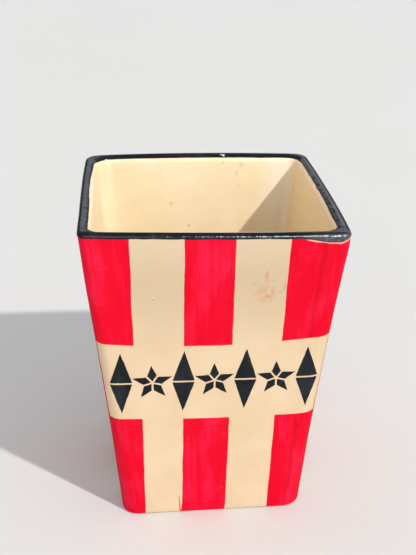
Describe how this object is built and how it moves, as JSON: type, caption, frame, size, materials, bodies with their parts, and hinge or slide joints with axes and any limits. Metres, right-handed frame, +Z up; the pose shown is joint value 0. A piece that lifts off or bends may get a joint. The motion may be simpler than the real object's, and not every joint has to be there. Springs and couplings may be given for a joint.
{
  "type": "ceramic popcorn bucket",
  "caption": "Empty square tapering popcorn bucket in glazed pottery, open at the top, with painted red stripes, a cream band and a black rim.",
  "frame": {"origin": "middle of the flat underside", "axes": "+Z up through the open top; the front wall, which has the painted band, faces -Y; +X is to its right"},
  "size_m": [0.1525, 0.1496, 0.2017],
  "materials": {
    "painted_glaze": "glossy cream glaze, hand-painted outside with crimson stripes that show their brush strokes",
    "inner_glaze": "plain cream glaze with a few small specks and smudges",
    "rim_glaze": "glossy blue-black glaze, brushed on thickly with an uneven lower edge",
    "stencil_glaze": "charcoal black, stencilled on by hand",
    "bare_clay": "unglazed fired clay on the underside"
  },
  "bodies": {
    "root": {"bucket": "painted_glaze"}
  },
  "joints": []
}
